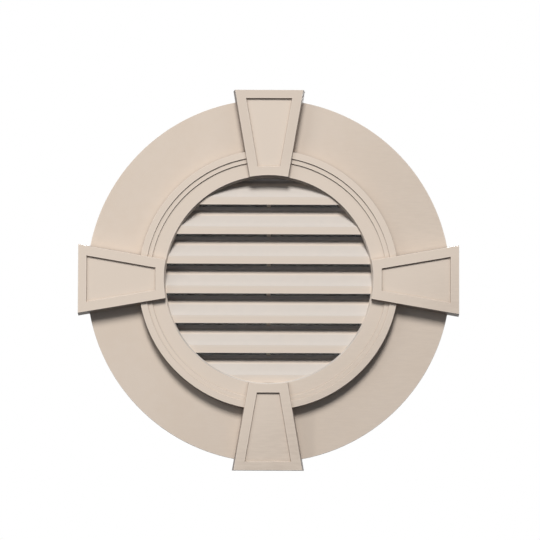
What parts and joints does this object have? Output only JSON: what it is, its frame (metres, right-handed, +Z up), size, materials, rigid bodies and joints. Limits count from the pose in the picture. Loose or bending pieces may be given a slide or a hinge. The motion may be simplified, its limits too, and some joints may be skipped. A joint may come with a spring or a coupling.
{
  "type": "gable vent",
  "caption": "Round louvred gable vent in sand plastic: flat flange, stepped trim ring, keystones with sunk panels, leaning slats and a collar with an insect screen.",
  "frame": {"origin": "centre of the vent on the wall plane, at the foot of the collar", "axes": "+Z up, -Y out of the wall towards the viewer, +Y into the wall along the collar, +X to the viewer's right"},
  "size_m": [0.7572, 0.0613, 0.7572],
  "materials": {
    "sand_plastic": "moulded matte plastic, sand coloured through",
    "screen_weave": "dark coated glass-fibre weave"
  },
  "bodies": {
    "root": {"vent_face": "sand_plastic", "insect_screen": "screen_weave"}
  },
  "joints": []
}
